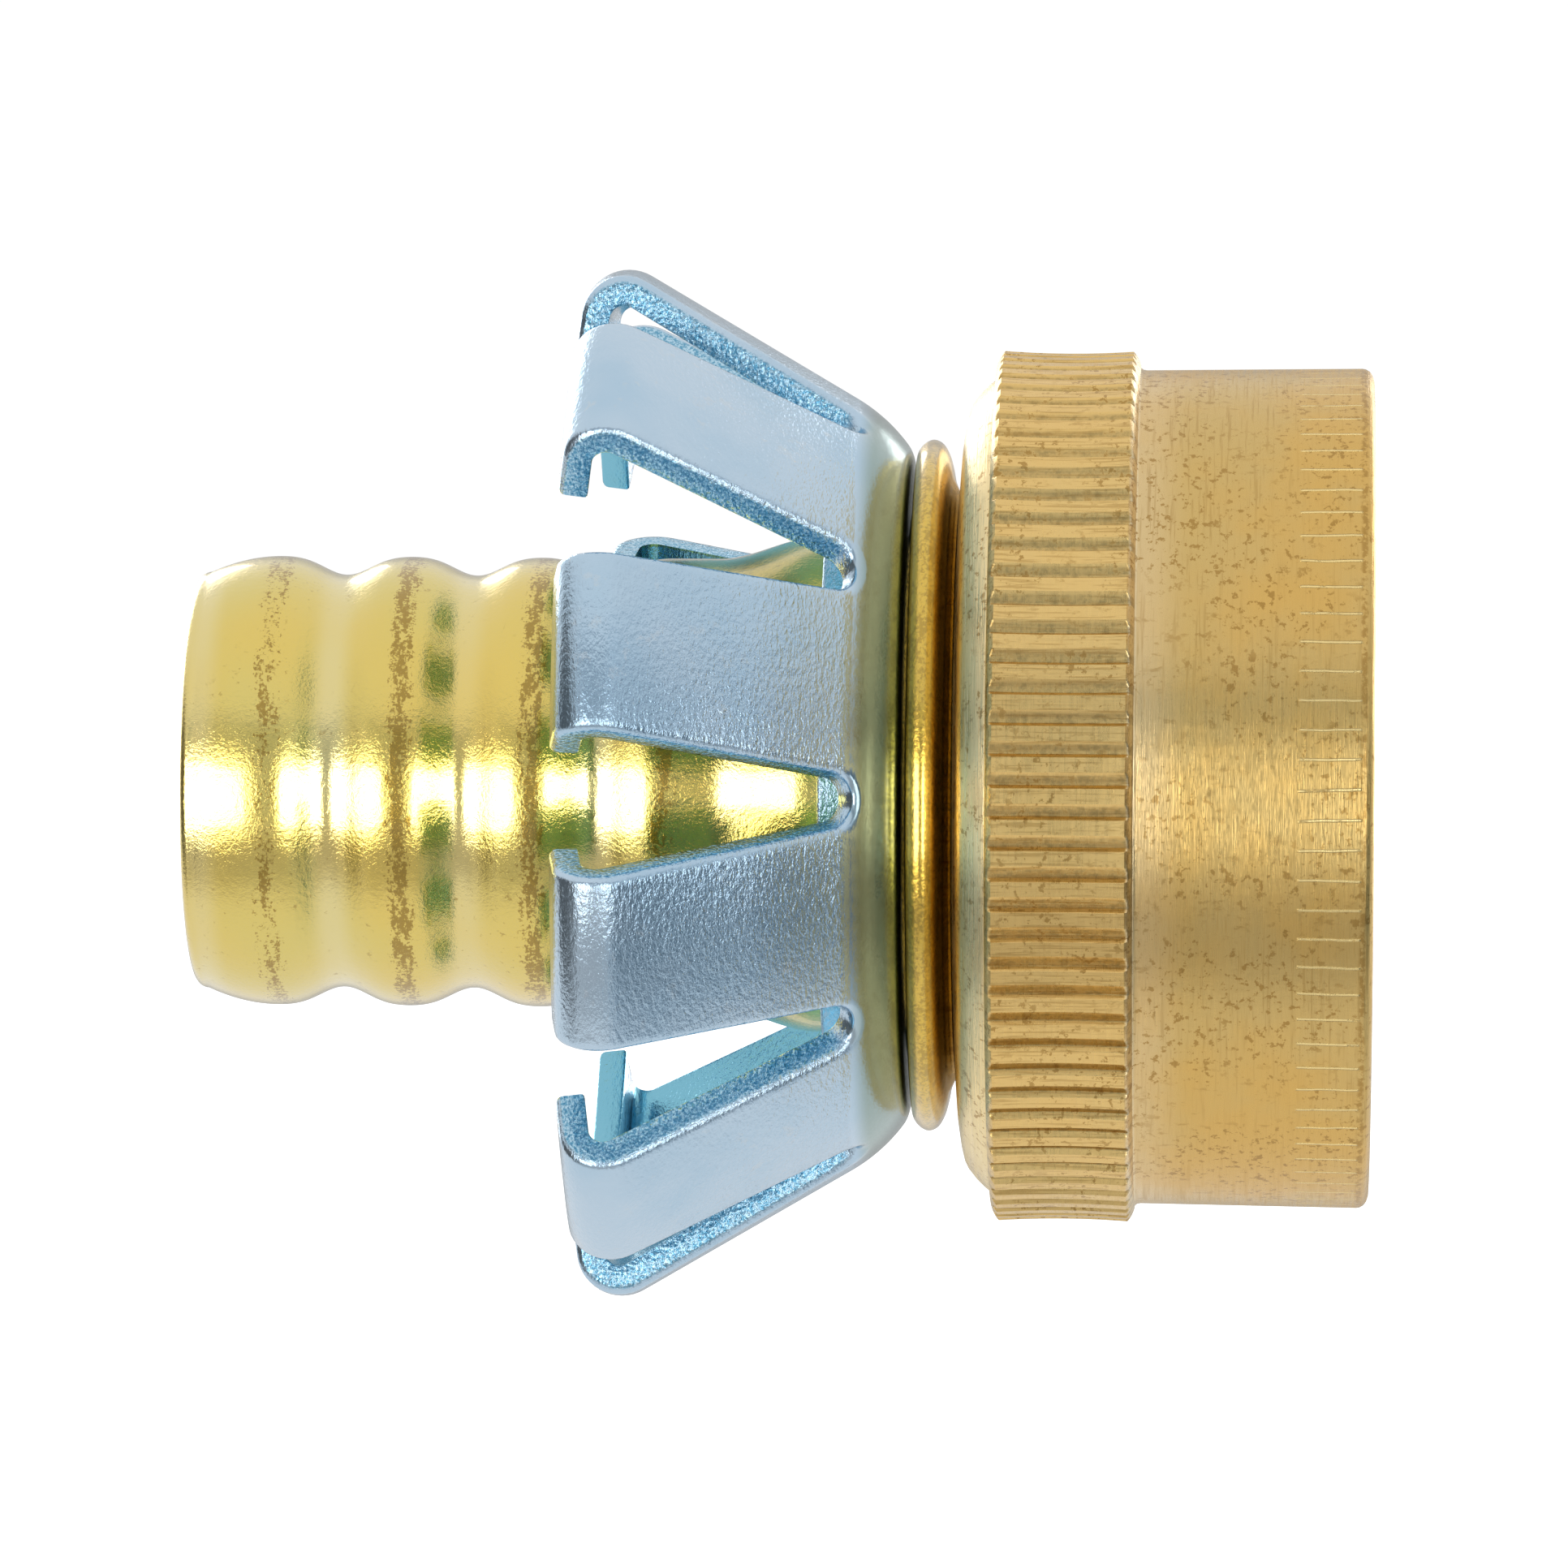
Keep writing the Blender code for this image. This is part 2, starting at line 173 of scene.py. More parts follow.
ZINC_BLUE = (0.45, 0.61, 0.75, 1)
ZINC_PALE = (0.53, 0.66, 0.78, 1)
ZINC_GREY = (0.66, 0.68, 0.68, 1)
# Painted reflection of the brass collar, on the zinc from the shoulder on
ZINC_BRASS_REFLECTION = (0.27, 0.36, 0.31, 1)
# Insides: partly the plating's tint, partly painted shade and reflection
ZINC_INSIDE_TINT_AND_SHADE = (0.17, 0.50, 0.64, 1)
# Cut edges: partly the plating's tint, partly painted shade and reflection
CUT_DARK = (0.07, 0.32, 0.50, 1)
CUT_PALE = (0.50, 0.73, 0.87, 1)
RUBBER_BLACK = (0.018, 0.018, 0.018, 1)
RUBBER_DUSTY = (0.06, 0.058, 0.055, 1)

# Camera and light
CAMERA_SENSOR = 36
CAMERA_LENS = 234.8
CAMERA_X = 17.9
CAMERA_AWAY = 373.5
CAMERA_ELEVATION = math.radians(2.35)
CAMERA_ROLL = math.radians(0.33)
FLOOR_Z = -75.0
FLOOR_HALF = 3000.0
FLOOR_GLOW = 0.6
TENT_LEVEL = 0.88
TENT_STRENGTH = 1.02
WHITE = (1, 1, 1, 1)
COOL_SHADE = (0.80, 1.0, 1.16, 1)
SOFTBOX_AWAY = 700.0
# Name, azimuth, elevation, half the width and height (all in degrees), brightness, what it lights
SOFTBOXES = [
    ("stem_left", -39, -6, (20, 14), 7.4, "stem"),
    ("stem_right", 37, -6, (19, 14), 8.4, "stem"),
    ("ring_left", -30, -6, (15, 15), 2.5, "ring"),
    ("ring_right", 28, -6, (16, 15), 1.9, "ring"),
    ("nut_far_left", -74, -3, (26, 13), 0.55, "nut"),
    ("nut_left", -32, -2, (17, 14), 2.0, "nut"),
    ("nut_right", 31, -2, (15, 14), 2.15, "nut"),
    ("back_left", 208, 12, (14, 16), 2.6, "everything"),
    ("back_right", 146, 8, (18, 12), 2.2, "everything"),
]


# ---------------------------------------------------------------- mesh helpers


class Skin:
    """Points and faces of one closed piece, collected ring by ring."""

    def __init__(self):
        self.points = []
        self.faces = []

    def add(self, places):
        first = len(self.points)
        self.points.extend(places)
        return list(range(first, len(self.points)))

    def ring(self, x, r, angles):
        """A closed ring about X; x and r are numbers or one value for each angle."""
        xs = np.broadcast_to(x, angles.shape)
        rs = np.broadcast_to(r, angles.shape)
        return self.add(zip(xs, -rs * np.sin(angles), rs * np.cos(angles)))

    def strip(self, a, b, closed=True):
        """Quads between two lines of equally many points."""
        count = len(a) if closed else len(a) - 1
        for i in range(count):
            n = (i + 1) % len(a)
            self.faces.append((a[i], a[n], b[n], b[i]))

    def fan(self, fine, coarse):
        """Faces between a fine ring and a coarse one whose points divide it evenly."""
        share = len(fine) // len(coarse)
        for i in range(len(coarse)):
            n = (i + 1) % len(coarse)
            run = [fine[(share * i + k) % len(fine)] for k in range(share + 1)]
            self.faces.append((*run, coarse[n], coarse[i]))

    def build(self, name, material, sharp=35.0, merge=0.0):
        mesh = bpy.data.meshes.new(name)
        mesh.from_pydata([Vector(p) * MM for p in self.points], [], self.faces)
        work = bmesh.new()
        work.from_mesh(mesh)
        if merge:
            bmesh.ops.remove_doubles(work, verts=work.verts, dist=merge * MM)
        bmesh.ops.recalc_face_normals(work, faces=work.faces)
        work.to_mesh(mesh)
        work.free()
        mesh.shade_smooth()
        mesh.set_sharp_from_angle(angle=math.radians(sharp))
        mesh.materials.append(material)
        made = bpy.data.objects.new(name, mesh)
        bpy.context.scene.collection.objects.link(made)
        return made


def arc(centre, radius, start, end, count):
    """Points (x, r) on a circle, where angle 0 points along +r and 90 degrees along +X."""
    turns = np.linspace(start, end, count + 1)
    return [(centre[0] + radius * math.sin(a), centre[1] + radius * math.cos(a)) for a in turns]


def flowing(points, per_span):
    """A smooth line through the points: a Catmull-Rom curve with per_span steps a span."""
    ends = [points[0], *points, points[-1]]
    made = []
    for i in range(len(points) - 1):
        p0, p1, p2, p3 = (Vector(p) for p in ends[i : i + 4])
        for k in range(per_span):
            t = k / per_span
            made.append(
                0.5 * (2 * p1 + (p2 - p0) * t + (2 * p0 - 5 * p1 + 4 * p2 - p3) * t**2
                       + (3 * p1 - p0 - 3 * p2 + p3) * t**3)
            )
    made.append(Vector(points[-1]))
    return [tuple(p) for p in made]


def lathe(name, outline, steps, material):
    """A closed turned piece from a closed outline of (x, r)."""
    skin = Skin()
    angles = np.arange(steps) * TURN / steps
    rings = [skin.ring(x, r, angles) for x, r in outline]
    for a, b in zip(rings, rings[1:] + rings[:1]):
        skin.strip(a, b)
    return skin.build(name, material)


# ---------------------------------------------------------------- shader helpers


class Nodes:
    """A node tree, with one short method for each kind of node that is used."""

    def __init__(self, tree):
        self.tree = tree

    def node(self, kind):
        return self.tree.nodes.new(kind)

    def plug(self, value, socket):
        if isinstance(value, bpy.types.NodeSocket):
            self.tree.links.new(value, socket)
        else:
            socket.default_value = value

    def maths(self, operation, a, b=0.0):
        made = self.node("ShaderNodeMath")
        made.operation = operation
        self.plug(a, made.inputs[0])
        self.plug(b, made.inputs[1])
        return made.outputs[0]

    def add(self, a, b):
        return self.maths("ADD", a, b)

    def less(self, a, b):
        return self.maths("SUBTRACT", a, b)

    def product(self, value, *others):
        for other in others:
            value = self.maths("MULTIPLY", value, other)
        return value

    def greatest(self, value, *others):
        for other in others:
            value = self.maths("MAXIMUM", value, other)
        return value

    def opposite(self, share):
        return self.less(1.0, share)

    def split(self, vector):
        made = self.node("ShaderNodeSeparateXYZ")
        self.plug(vector, made.inputs[0])
        return made.outputs

    def join(self, x, y, z):
        made = self.node("ShaderNodeCombineXYZ")
        for value, socket in zip((x, y, z), made.inputs):
            self.plug(value, socket)
        return made.outputs[0]

    def noise(self, vector, scale, detail=2.0, roughness=0.5):
        made = self.node("ShaderNodeTexNoise")
        self.plug(vector, made.inputs["Vector"])
        made.inputs["Scale"].default_value = scale
        made.inputs["Detail"].default_value = detail
        made.inputs["Roughness"].default_value = roughness
        return made.outputs["Fac"]

    def cells(self, vector, scale):
        made = self.node("ShaderNodeTexVoronoi")
        self.plug(vector, made.inputs["Vector"])
        made.inputs["Scale"].default_value = scale
        return made.outputs["Distance"]

    def span(self, value, low, high, to_low=0.0, to_high=1.0):
        """Maps low..high smoothly to to_low..to_high, and holds the ends."""
        made = self.node("ShaderNodeMapRange")
        made.interpolation_type = "SMOOTHSTEP"
        self.plug(value, made.inputs["Value"])
        made.inputs["From Min"].default_value = low
        made.inputs["From Max"].default_value = high
        made.inputs["To Min"].default_value = to_low
        made.inputs["To Max"].default_value = to_high
        return made.outputs["Result"]

    def blend(self, factor, a, b):
        made = self.node("ShaderNodeMix")
        made.data_type = "RGBA"
        self.plug(factor, made.inputs["Factor"])
        self.plug(a, made.inputs["A"])
        self.plug(b, made.inputs["B"])
        return made.outputs["Result"]

    def bump(self, height, distance, strength=1.0, below=None):
        """A bump of the given depth in millimetres, on top of the one below."""
        made = self.node("ShaderNodeBump")
        made.inputs["Strength"].default_value = strength
        made.inputs["Distance"].default_value = distance * MM
        self.plug(height, made.inputs["Height"])
        if below is not None:
            self.plug(below, made.inputs["Normal"])
        return made.outputs["Normal"]


class Paint(Nodes):
    """A material whose patterns are placed by the object's own coordinates."""

    def __init__(self, name):
        self.material = bpy.data.materials.new(name)
        self.material.use_nodes = True
        super().__init__(self.material.node_tree)
        self.shader = self.tree.nodes["Principled BSDF"]
        self.place = self.node("ShaderNodeTexCoord").outputs["Object"]
        self.x, self.y, self.z = self.split(self.place)

    def along(self, low, high, to_low=0.0, to_high=1.0):
        """span() over the place along X, from low to high in millimetres."""
        return self.span(self.x, low * MM, high * MM, to_low, to_high)

    def from_repeat(self, first, pitch):
        """Distance along X to the nearest of evenly spaced places, as a share of their pitch."""
        return self.maths("PINGPONG", self.maths("DIVIDE", self.less(self.x, first * MM), pitch * MM), 0.5)

    def radius(self):
        """Distance from the X axis."""
        squares = self.add(self.product(self.y, self.y), self.product(self.z, self.z))
        return self.maths("SQRT", squares)

    def around(self):
        """Angle about the X axis."""
        return self.maths("ARCTAN2", self.z, self.y)

    def turned_place(self, along, across):
        """Coordinates for marks left by turning: fine along X, stretched round the axis."""
        return self.join(
            self.product(self.x, along),
            self.product(self.y, across),
            self.product(self.z, across),
        )

    def stretched_place(self, share):
        """Coordinates with X scaled by a share."""
        return self.join(self.product(self.x, share), self.y, self.z)

    def finish(self, colour, roughness, normal, metallic=1.0):
        self.plug(colour, self.shader.inputs["Base Color"])
        self.plug(roughness, self.shader.inputs["Roughness"])
        self.plug(metallic, self.shader.inputs["Metallic"])
        self.plug(normal, self.shader.inputs["Normal"])
        return self.material


# ---------------------------------------------------------------- finishes


def stem_brass():
    """Bright drawn brass, a little orange-peeled, with bands of brown tarnish near the crests."""
    p = Paint("stem_brass")
    streak = p.noise(p.turned_place(2600, 700), 1.0, 4.0, 0.7)
    speck = p.noise(p.place, 2700, 4.0, 0.75)
    fine_speck = p.noise(p.place, 6500, 3.0, 0.7)
    patch = p.noise(p.place, 260, 3.0, 0.6)
    drift = p.noise(p.place, 120, 2.0)
    marks = p.add(p.product(fine_speck, 0.5), p.product(streak, 0.5))
    on_collar = p.along(4.6, 4.7)

    from_band = p.from_repeat(FIRST_CREST_X + TARNISH_SHIFT, BARB_PITCH)
    on_barbs = p.along(LAST_CREST_X + 0.5, LAST_CREST_X + 1.0, 1.0, 0.0)
    band = p.product(p.span(from_band, 0.01, 0.15, 1.0, 0.0), on_barbs)
    older = p.along(FIRST_CREST_X + 1.5, FIRST_CREST_X + 3.5, 0.08, 0.13)
    needed = p.less(0.60, p.product(band, older))
    tarnish = p.product(p.span(p.less(marks, needed), -0.03, 0.04), p.span(band, 0.05, 0.30))
    faint = p.product(p.span(speck, 0.60, 0.68), p.span(patch, 0.42, 0.58), 0.6)
    worn = p.product(p.span(marks, 0.46, 0.56), on_collar, 0.7)
    stain = p.greatest(tarnish, faint, worn)

    # Paler in the valleys between the barbs, in patches
    from_crest = p.from_repeat(FIRST_CREST_X, BARB_PITCH)
    pale_valleys = p.product(p.span(from_crest, 0.30, 0.48), p.span(drift, 0.30, 0.60, 0.3, 1.0))
    pale_valleys = p.product(pale_valleys, p.opposite(on_collar), 0.45)
    base = p.blend(p.span(drift, 0.35, 0.65), STEM_GOLD, STEM_LEMON)
    base = p.blend(pale_valleys, base, STEM_VALLEY_PALE)
    base = p.blend(on_collar, base, COLLAR_GOLD)
    colour = p.blend(stain, base, STEM_TARNISH)

    peel = p.bump(p.noise(p.place, 900, 3.0, 0.55), 0.024)
    grain = p.bump(fine_speck, 0.018, 1.0, peel)
    dull = p.greatest(stain, p.product(on_collar, 0.9))
    roughness = p.span(dull, 0.0, 1.0, 0.19, 0.27)
    p.shader.inputs["Coat Weight"].default_value = 0.9
    p.shader.inputs["Coat Roughness"].default_value = 0.10
    return p.finish(colour, roughness, grain)


def nut_brass():
    """Satin turned brass with fine rings, dirt and painted shade in the knurl's grooves, dark specks and
    short scores at the mouth.
    """
    p = Paint("nut_brass")
    rings = p.noise(p.turned_place(8500, 330), 1.0, 3.0, 0.7)
    coarse_rings = p.noise(p.turned_place(2600, 120), 1.0, 3.0, 0.6)
    speck = p.noise(p.place, 3300, 3.0, 0.7)
    scuff = p.noise(p.turned_place(1100, 2600), 1.0, 4.0, 0.7)
    patch = p.noise(p.place, 260, 3.0, 0.6)
    drift = p.noise(p.place, 110, 4.0, 0.65)
    turn = p.product(p.around(), TEETH / TURN)
    on_skirt = p.along(12.9, 13.0)
    on_band = p.product(p.opposite(on_skirt), p.along(7.7, 7.8))

    # Paler by the band and on the shoulder, and a pale worn edge at the band's right end
    base = p.blend(p.span(drift, 0.38, 0.62), NUT_GOLD, NUT_YELLOW)
    by_band = p.product(p.along(13.0, 15.0, 0.55, 0.0), on_skirt, p.span(drift, 0.30, 0.60, 0.6, 1.0))
    base = p.blend(by_band, base, NUT_PALE)
    base = p.blend(p.along(7.7, 8.0, 0.8, 0.0), base, SHOULDER_PALE)
    base = p.blend(p.product(on_band, 0.6), base, KNURL_GOLD)
    edge = p.product(p.along(12.68, 12.80), p.along(12.93, 13.05, 0.7, 0.0))
    base = p.blend(edge, base, KNURL_EDGE)

    # Darker in the knurl's grooves, in patches: partly dirt, partly painted shade
    tooth = p.maths("FRACT", p.add(turn, 0.5))
    groove_dirt_and_shade = p.product(p.span(tooth, LAND + 0.03, LAND + 0.16), p.span(tooth, 0.89, 0.92, 1.0, 0.0))
    groove_dirt_and_shade = p.product(groove_dirt_and_shade, on_band, p.span(speck, 0.30, 0.60, 0.60, 0.26))
    base = p.blend(groove_dirt_and_shade, base, KNURL_DIRT_AND_SHADE)

    # Stains: lines drawn along the knurl, specks, scuffs, turned rings and a dark rim at the mouth
    drawn = p.product(p.noise(p.stretched_place(0.03), 9000, 3.0, 0.6), on_band)
    lines = p.product(p.span(drawn, 0.52, 0.62), 0.45)
    spots = p.product(p.span(speck, 0.56, 0.62), p.span(patch, 0.38, 0.56), 0.75)
    scuffs = p.product(p.span(scuff, 0.58, 0.68), p.span(patch, 0.62, 0.42), 0.45)
    turned = p.product(p.span(rings, 0.54, 0.66), p.span(drift, 0.42, 0.60, 0.10, 0.35), on_skirt)
    rim = p.product(p.along(20.85, 21.0), p.along(21.1, 21.2, 1.0, 0.0), p.span(speck, 0.42, 0.55), 0.7)
    colour = p.blend(p.greatest(spots, scuffs, turned, lines, rim), base, NUT_TARNISH)

    # Short bright scores at the mouth, about one to each tooth
    wander = p.product(p.less(patch, 0.5), 0.25)
    off_line = p.maths("ABSOLUTE", p.less(p.maths("FRACT", p.add(turn, wander)), 0.5))
    near_mouth = p.product(p.along(18.7, 18.85), p.along(20.9, 21.0, 1.0, 0.0))
    scored = p.product(p.span(off_line, 0.02, 0.06, 1.0, 0.0), near_mouth, p.span(scuff, 0.30, 0.42))
    colour = p.blend(p.product(scored, 0.9), colour, SCORE_GOLD)

    off_band = p.opposite(on_band)
    line_bump = p.bump(p.product(rings, off_band), 0.032)
    ring_bump = p.bump(p.product(coarse_rings, off_band), 0.030, 0.8, line_bump)
    drawn_bump = p.bump(drawn, 0.012, 1.0, ring_bump)
    scuff_bump = p.bump(scuff, 0.012, 0.6, drawn_bump)
    scored_bump = p.bump(scored, 0.045, 1.0, scuff_bump)
    roughness = p.span(rings, 0.3, 0.7, 0.24, 0.36)
    return p.finish(colour, roughness, scored_bump)


def zinc():
    """Blue bright zinc on pressed steel, pebbled along the fingers, bluer and frosted on the cut edges.

    Olive from the shoulder on is a painted reflection of the brass collar; the blue of the cut edges
    and the insides is partly the plating's tint and partly painted shade and reflection.
    """
    p = Paint("zinc_plate")
    pebble = p.noise(p.stretched_place(2.2), 3300, 3.0, 0.6)
    crystal = p.cells(p.place, 5200)
    grit = p.noise(p.place, 9500, 2.0, 0.6)
    drift = p.noise(p.place, 130, 3.0, 0.6)
    scuff = p.noise(p.place, 900, 4.0, 0.7)

    # Side walls face round the axis, and the fingers' insides face it
    _, ny, nz = p.split(p.node("ShaderNodeTexCoord").outputs["Normal"])
    round_axis = p.maths("DIVIDE", p.less(p.product(ny, p.z), p.product(nz, p.y)), p.radius())
    outwards = p.maths("DIVIDE", p.add(p.product(ny, p.y), p.product(nz, p.z)), p.radius())
    wall = p.span(p.maths("ABSOLUTE", round_axis), 0.80, 0.95)
    inside_tint_and_shade = p.span(outwards, -0.60, -0.20, 0.85, 0.0)

    base = p.blend(p.span(drift, 0.35, 0.65), ZINC_BLUE, ZINC_PALE)
    base = p.blend(p.span(scuff, 0.60, 0.70, 0.0, 0.25), base, ZINC_GREY)
    # From the shoulder on towards the hub the zinc turns olive: a painted reflection of the brass collar
    base = p.blend(p.along(2.8, 3.5, 0.0, 0.8), base, ZINC_BRASS_REFLECTION)
    # The fingers' insides are darker and bluer: partly the plating's tint, partly painted shade and
    # reflection
    base = p.blend(inside_tint_and_shade, base, ZINC_INSIDE_TINT_AND_SHADE)
    # The cut side walls are blue, dark and pale in grains: partly the plating's tint, partly painted shade
    # and reflection
    cut = p.blend(p.span(grit, 0.36, 0.64), CUT_DARK, CUT_PALE)
    colour = p.blend(p.product(wall, 0.85), base, cut)

    shank = p.product(p.along(-7.0, -1.0, 0.5, 1.0), p.along(2.6, 3.0, 1.0, 0.10))
    pressed = p.bump(p.along(-0.5, 3.2, 1.0, 0.0), 0.30)
    pebbled = p.bump(p.product(pebble, shank), 0.060, 1.0, pressed)
    gritty = p.bump(p.product(grit, p.greatest(shank, wall)), 0.016, 1.0, pebbled)
    frosted = p.bump(p.product(crystal, wall), 0.022, 1.0, gritty)
    roughness = p.span(grit, 0.35, 0.65, 0.13, 0.21)
    return p.finish(colour, roughness, frosted)


def rubber():
    """Black rubber, a little dusty."""
    p = Paint("washer_rubber")
    dust = p.noise(p.place, 900, 4.0, 0.7)
    colour = p.blend(p.span(dust, 0.45, 0.75), RUBBER_BLACK, RUBBER_DUSTY)
    grain = p.bump(p.noise(p.place, 3000, 2.0), 0.01, 0.6)
    return p.finish(colour, p.span(dust, 0.3, 0.7, 0.5, 0.75), grain, metallic=0.0)


# ---------------------------------------------------------------- barbed stem


def barb_radius(x):
    """Outer radius of the stem between its nose and the folded collar."""
    crest = BARB_MEAN_R + BARB_SWING
    if x < FIRST_CREST_X:
        return crest - (FIRST_CREST_X - x) ** 2 / (2 * NOSE_ARC_R)
    if x < LAST_CREST_X:
        phase = TURN * (x - FIRST_CREST_X) / BARB_PITCH
        return BARB_MEAN_R + BARB_SWING * math.cos(phase) + BARB_CREST_FILL * (1 - math.cos(2 * phase))
    t = min(max((x - FLARE_START_X) / (FLARE_END_X - FLARE_START_X), 0.0), 1.0)
    return crest + (NECK_R - crest) * t * t * (3 - 2 * t)


def make_stem(material):
    nose_x = -HALF_LENGTH + NOSE_EDGE_R
    nose_r = barb_radius(nose_x) - NOSE_EDGE_R
    mouth = (FLANGE_END_X - BORE_MOUTH_R, NECK_R - STEM_WALL + BORE_MOUTH_R)
    nose_bore = (nose_x, nose_r - STEM_WALL + 2 * NOSE_BORE_EDGE_R)
    stations = np.arange(nose_x, FLARE_END_X, STEM_STATION)
    outline = arc((nose_x, nose_r), NOSE_EDGE_R, -math.pi / 2, 0, 8)
    outline += [(x, barb_radius(x)) for x in stations[1:]]
    outline += [(FLARE_END_X, NECK_R)] + NECK_END
    outline += flowing(COLLAR, COLLAR_STEPS) + COLLAR_BACK + FLANGE
    outline += arc(mouth, BORE_MOUTH_R, math.pi / 2, math.pi, 8)
    outline += [(x, barb_radius(x) - STEM_WALL) for x in stations[::-2]]
    outline += arc(nose_bore, NOSE_BORE_EDGE_R, math.pi, 1.5 * math.pi, 3)[1:]
    return lathe("stem_finish", outline, STEM_STEPS, material)


# ---------------------------------------------------------------- clinch ring


def sheet_lines():
    """The sheet's middle line as (length, bend radius or 0) runs, from the lip's end to the hub's."""
    return [
        (LIP_LENGTH, 0),
        (TIP_R * (FLARE + math.pi / 2 - LIP_TILT), TIP_R),
        (SHANK_LENGTH, 0),
        (SHOULDER_R * (SHOULDER_END - FLARE), SHOULDER_R),
        (CORNER_R * (math.pi / 2 - SHOULDER_END), CORNER_R),
        (PLATE_LENGTH, 0),
        (HUB_BEND_R * math.pi / 2, HUB_BEND_R),
        (HUB_LENGTH, 0),
    ]


SHANK_END = sum(length for length, _ in sheet_lines()[:3])
TIP_END = sum(length for length, _ in sheet_lines()[:2])
SHEET_END = sum(length for length, _ in sheet_lines())


def sheet_point(s):
    """Middle of the sheet at distance s from the shoulder's end, towards the hub if s is over 0.

    Returns x, r and the outward normal's angle, 0 along +r and 90 degrees along +X.
    """
    way = s + SHANK_END
    angle = -math.pi / 2 + LIP_TILT
    x = TIP_CENTRE[0] + TIP_R * math.sin(angle) - LIP_LENGTH * math.cos(angle)
    r = TIP_CENTRE[1] + TIP_R * math.cos(angle) + LIP_LENGTH * math.sin(angle)
    for length, bend in sheet_lines():
        step = min(way, length)
        if bend:
            after = angle + step / bend
            x += bend * (math.sin(after) - math.sin(angle))
            r += bend * (math.cos(after) - math.cos(angle))
            angle = after
        else:
            x += step * math.cos(angle)
            r -= step * math.sin(angle)
        way -= step
        if way <= 0:
            break
    return x, r, angle


def slot_angle(s, from_middle):
    """Angle from a finger's middle to a point that far from the slot's middle plane."""
    return math.pi / FINGERS - math.asin(from_middle / sheet_point(s)[1])


ARC_MIDDLE = SLOT_DEPTH - SLOT_R
STRAIGHT_START = ARC_MIDDLE + SLOT_R * math.cos(SLOT_OPENING)
BORDER_STEPS = [SLOT_BORDER, 0.42, RIM_R, 0.16, 0.07, 0.02, 0.0]  # distances from the side wall
INNER_STEPS = 8


def half_width(s):
    """Half the width of a finger, from its middle plane to its flat side wall."""
    _, root_r, _ = sheet_point(STRAIGHT_START)
    root = root_r * math.sin(slot_angle(STRAIGHT_START, SLOT_R * math.sin(SLOT_OPENING)))
    share = (STRAIGHT_START - s) / (STRAIGHT_START + SHANK_END - TIP_END)
    return root + (TIP_HALF_WIDTH - root) * min(share, 1.0)


def columns(s, edge_angle):
    """Evenly spaced points from the middle to an edge, all of them clear of the side wall."""
    return [(s, edge_angle * i / INNER_STEPS, SLOT_BORDER) for i in range(INNER_STEPS + 1)]


def plate_row(s):
    """From a finger's middle to the slot's middle plane, where the ring is whole."""
    return columns(s, math.pi / FINGERS), 0.0


def arc_row(turn):
    """From a finger's middle to a point on the slot's round end."""
    border = []
    for d in BORDER_STEPS:
        s = ARC_MIDDLE + (SLOT_R + d) * math.cos(turn)
        border.append((s, slot_angle(s, (SLOT_R + d) * math.sin(turn)), d))
    return columns(*border[0][:2]) + border[1:], turn / SLOT_OPENING


def finger_row(s):
    """From a finger's middle to its side wall, where the slot is open."""
    r = sheet_point(s)[1]
    border = [(s, math.asin((half_width(s) - d) / r), d) for d in BORDER_STEPS]
    return columns(*border[0][:2]) + border[1:], 1.0


def rolled_off(d, radius):
    """How far a rounded edge has dropped, d in from the side wall."""
    return radius - math.sqrt(max(radius**2 - max(radius - d, 0.0) ** 2, 0.0))


def lay_row(skin, row, middle, hand, outside, trim):
    """Adds one face's points of a row; trim takes a little off the height, for a rounded end."""
    line, flat_walls = row
    places = []
    for s, angle, d in line:
        x, r, lean = sheet_point(s)
        edge = RIM_R if outside else BACK_EDGE_R
        height = SHEET / 2 - max(rolled_off(d, edge), trim)
        height = height if outside else -height
        at_x = x + height * math.sin(lean)
        at_r = r + height * math.cos(lean)
        walled = math.asin(r * math.sin(angle) / at_r)
        turn = middle + hand * (angle + flat_walls * (walled - angle))
        places.append((at_x, -at_r * math.sin(turn), at_r * math.cos(turn)))
    return skin.add(places)


def lay_sheet(skin, rows, middle):
    """Both faces, the side walls and the end caps of one finger's share of the ring."""
    for hand in (-1, 1):
        laid = []
        for row, trim in rows:
            laid.append([lay_row(skin, row, middle, hand, outside, trim) for outside in (True, False)])
        for (out_a, in_a), (out_b, in_b) in zip(laid, laid[1:]):
            count = min(len(out_a), len(out_b))
            skin.strip(out_a[:count], out_b[:count], closed=False)
            skin.strip(in_b[:count], in_a[:count], closed=False)
            if len(out_a) == len(out_b) > INNER_STEPS + 1:
                skin.faces.append((out_a[-1], in_a[-1], in_b[-1], out_b[-1]))
        skin.strip(*laid[0], closed=False)
        skin.strip(*laid[-1], closed=False)


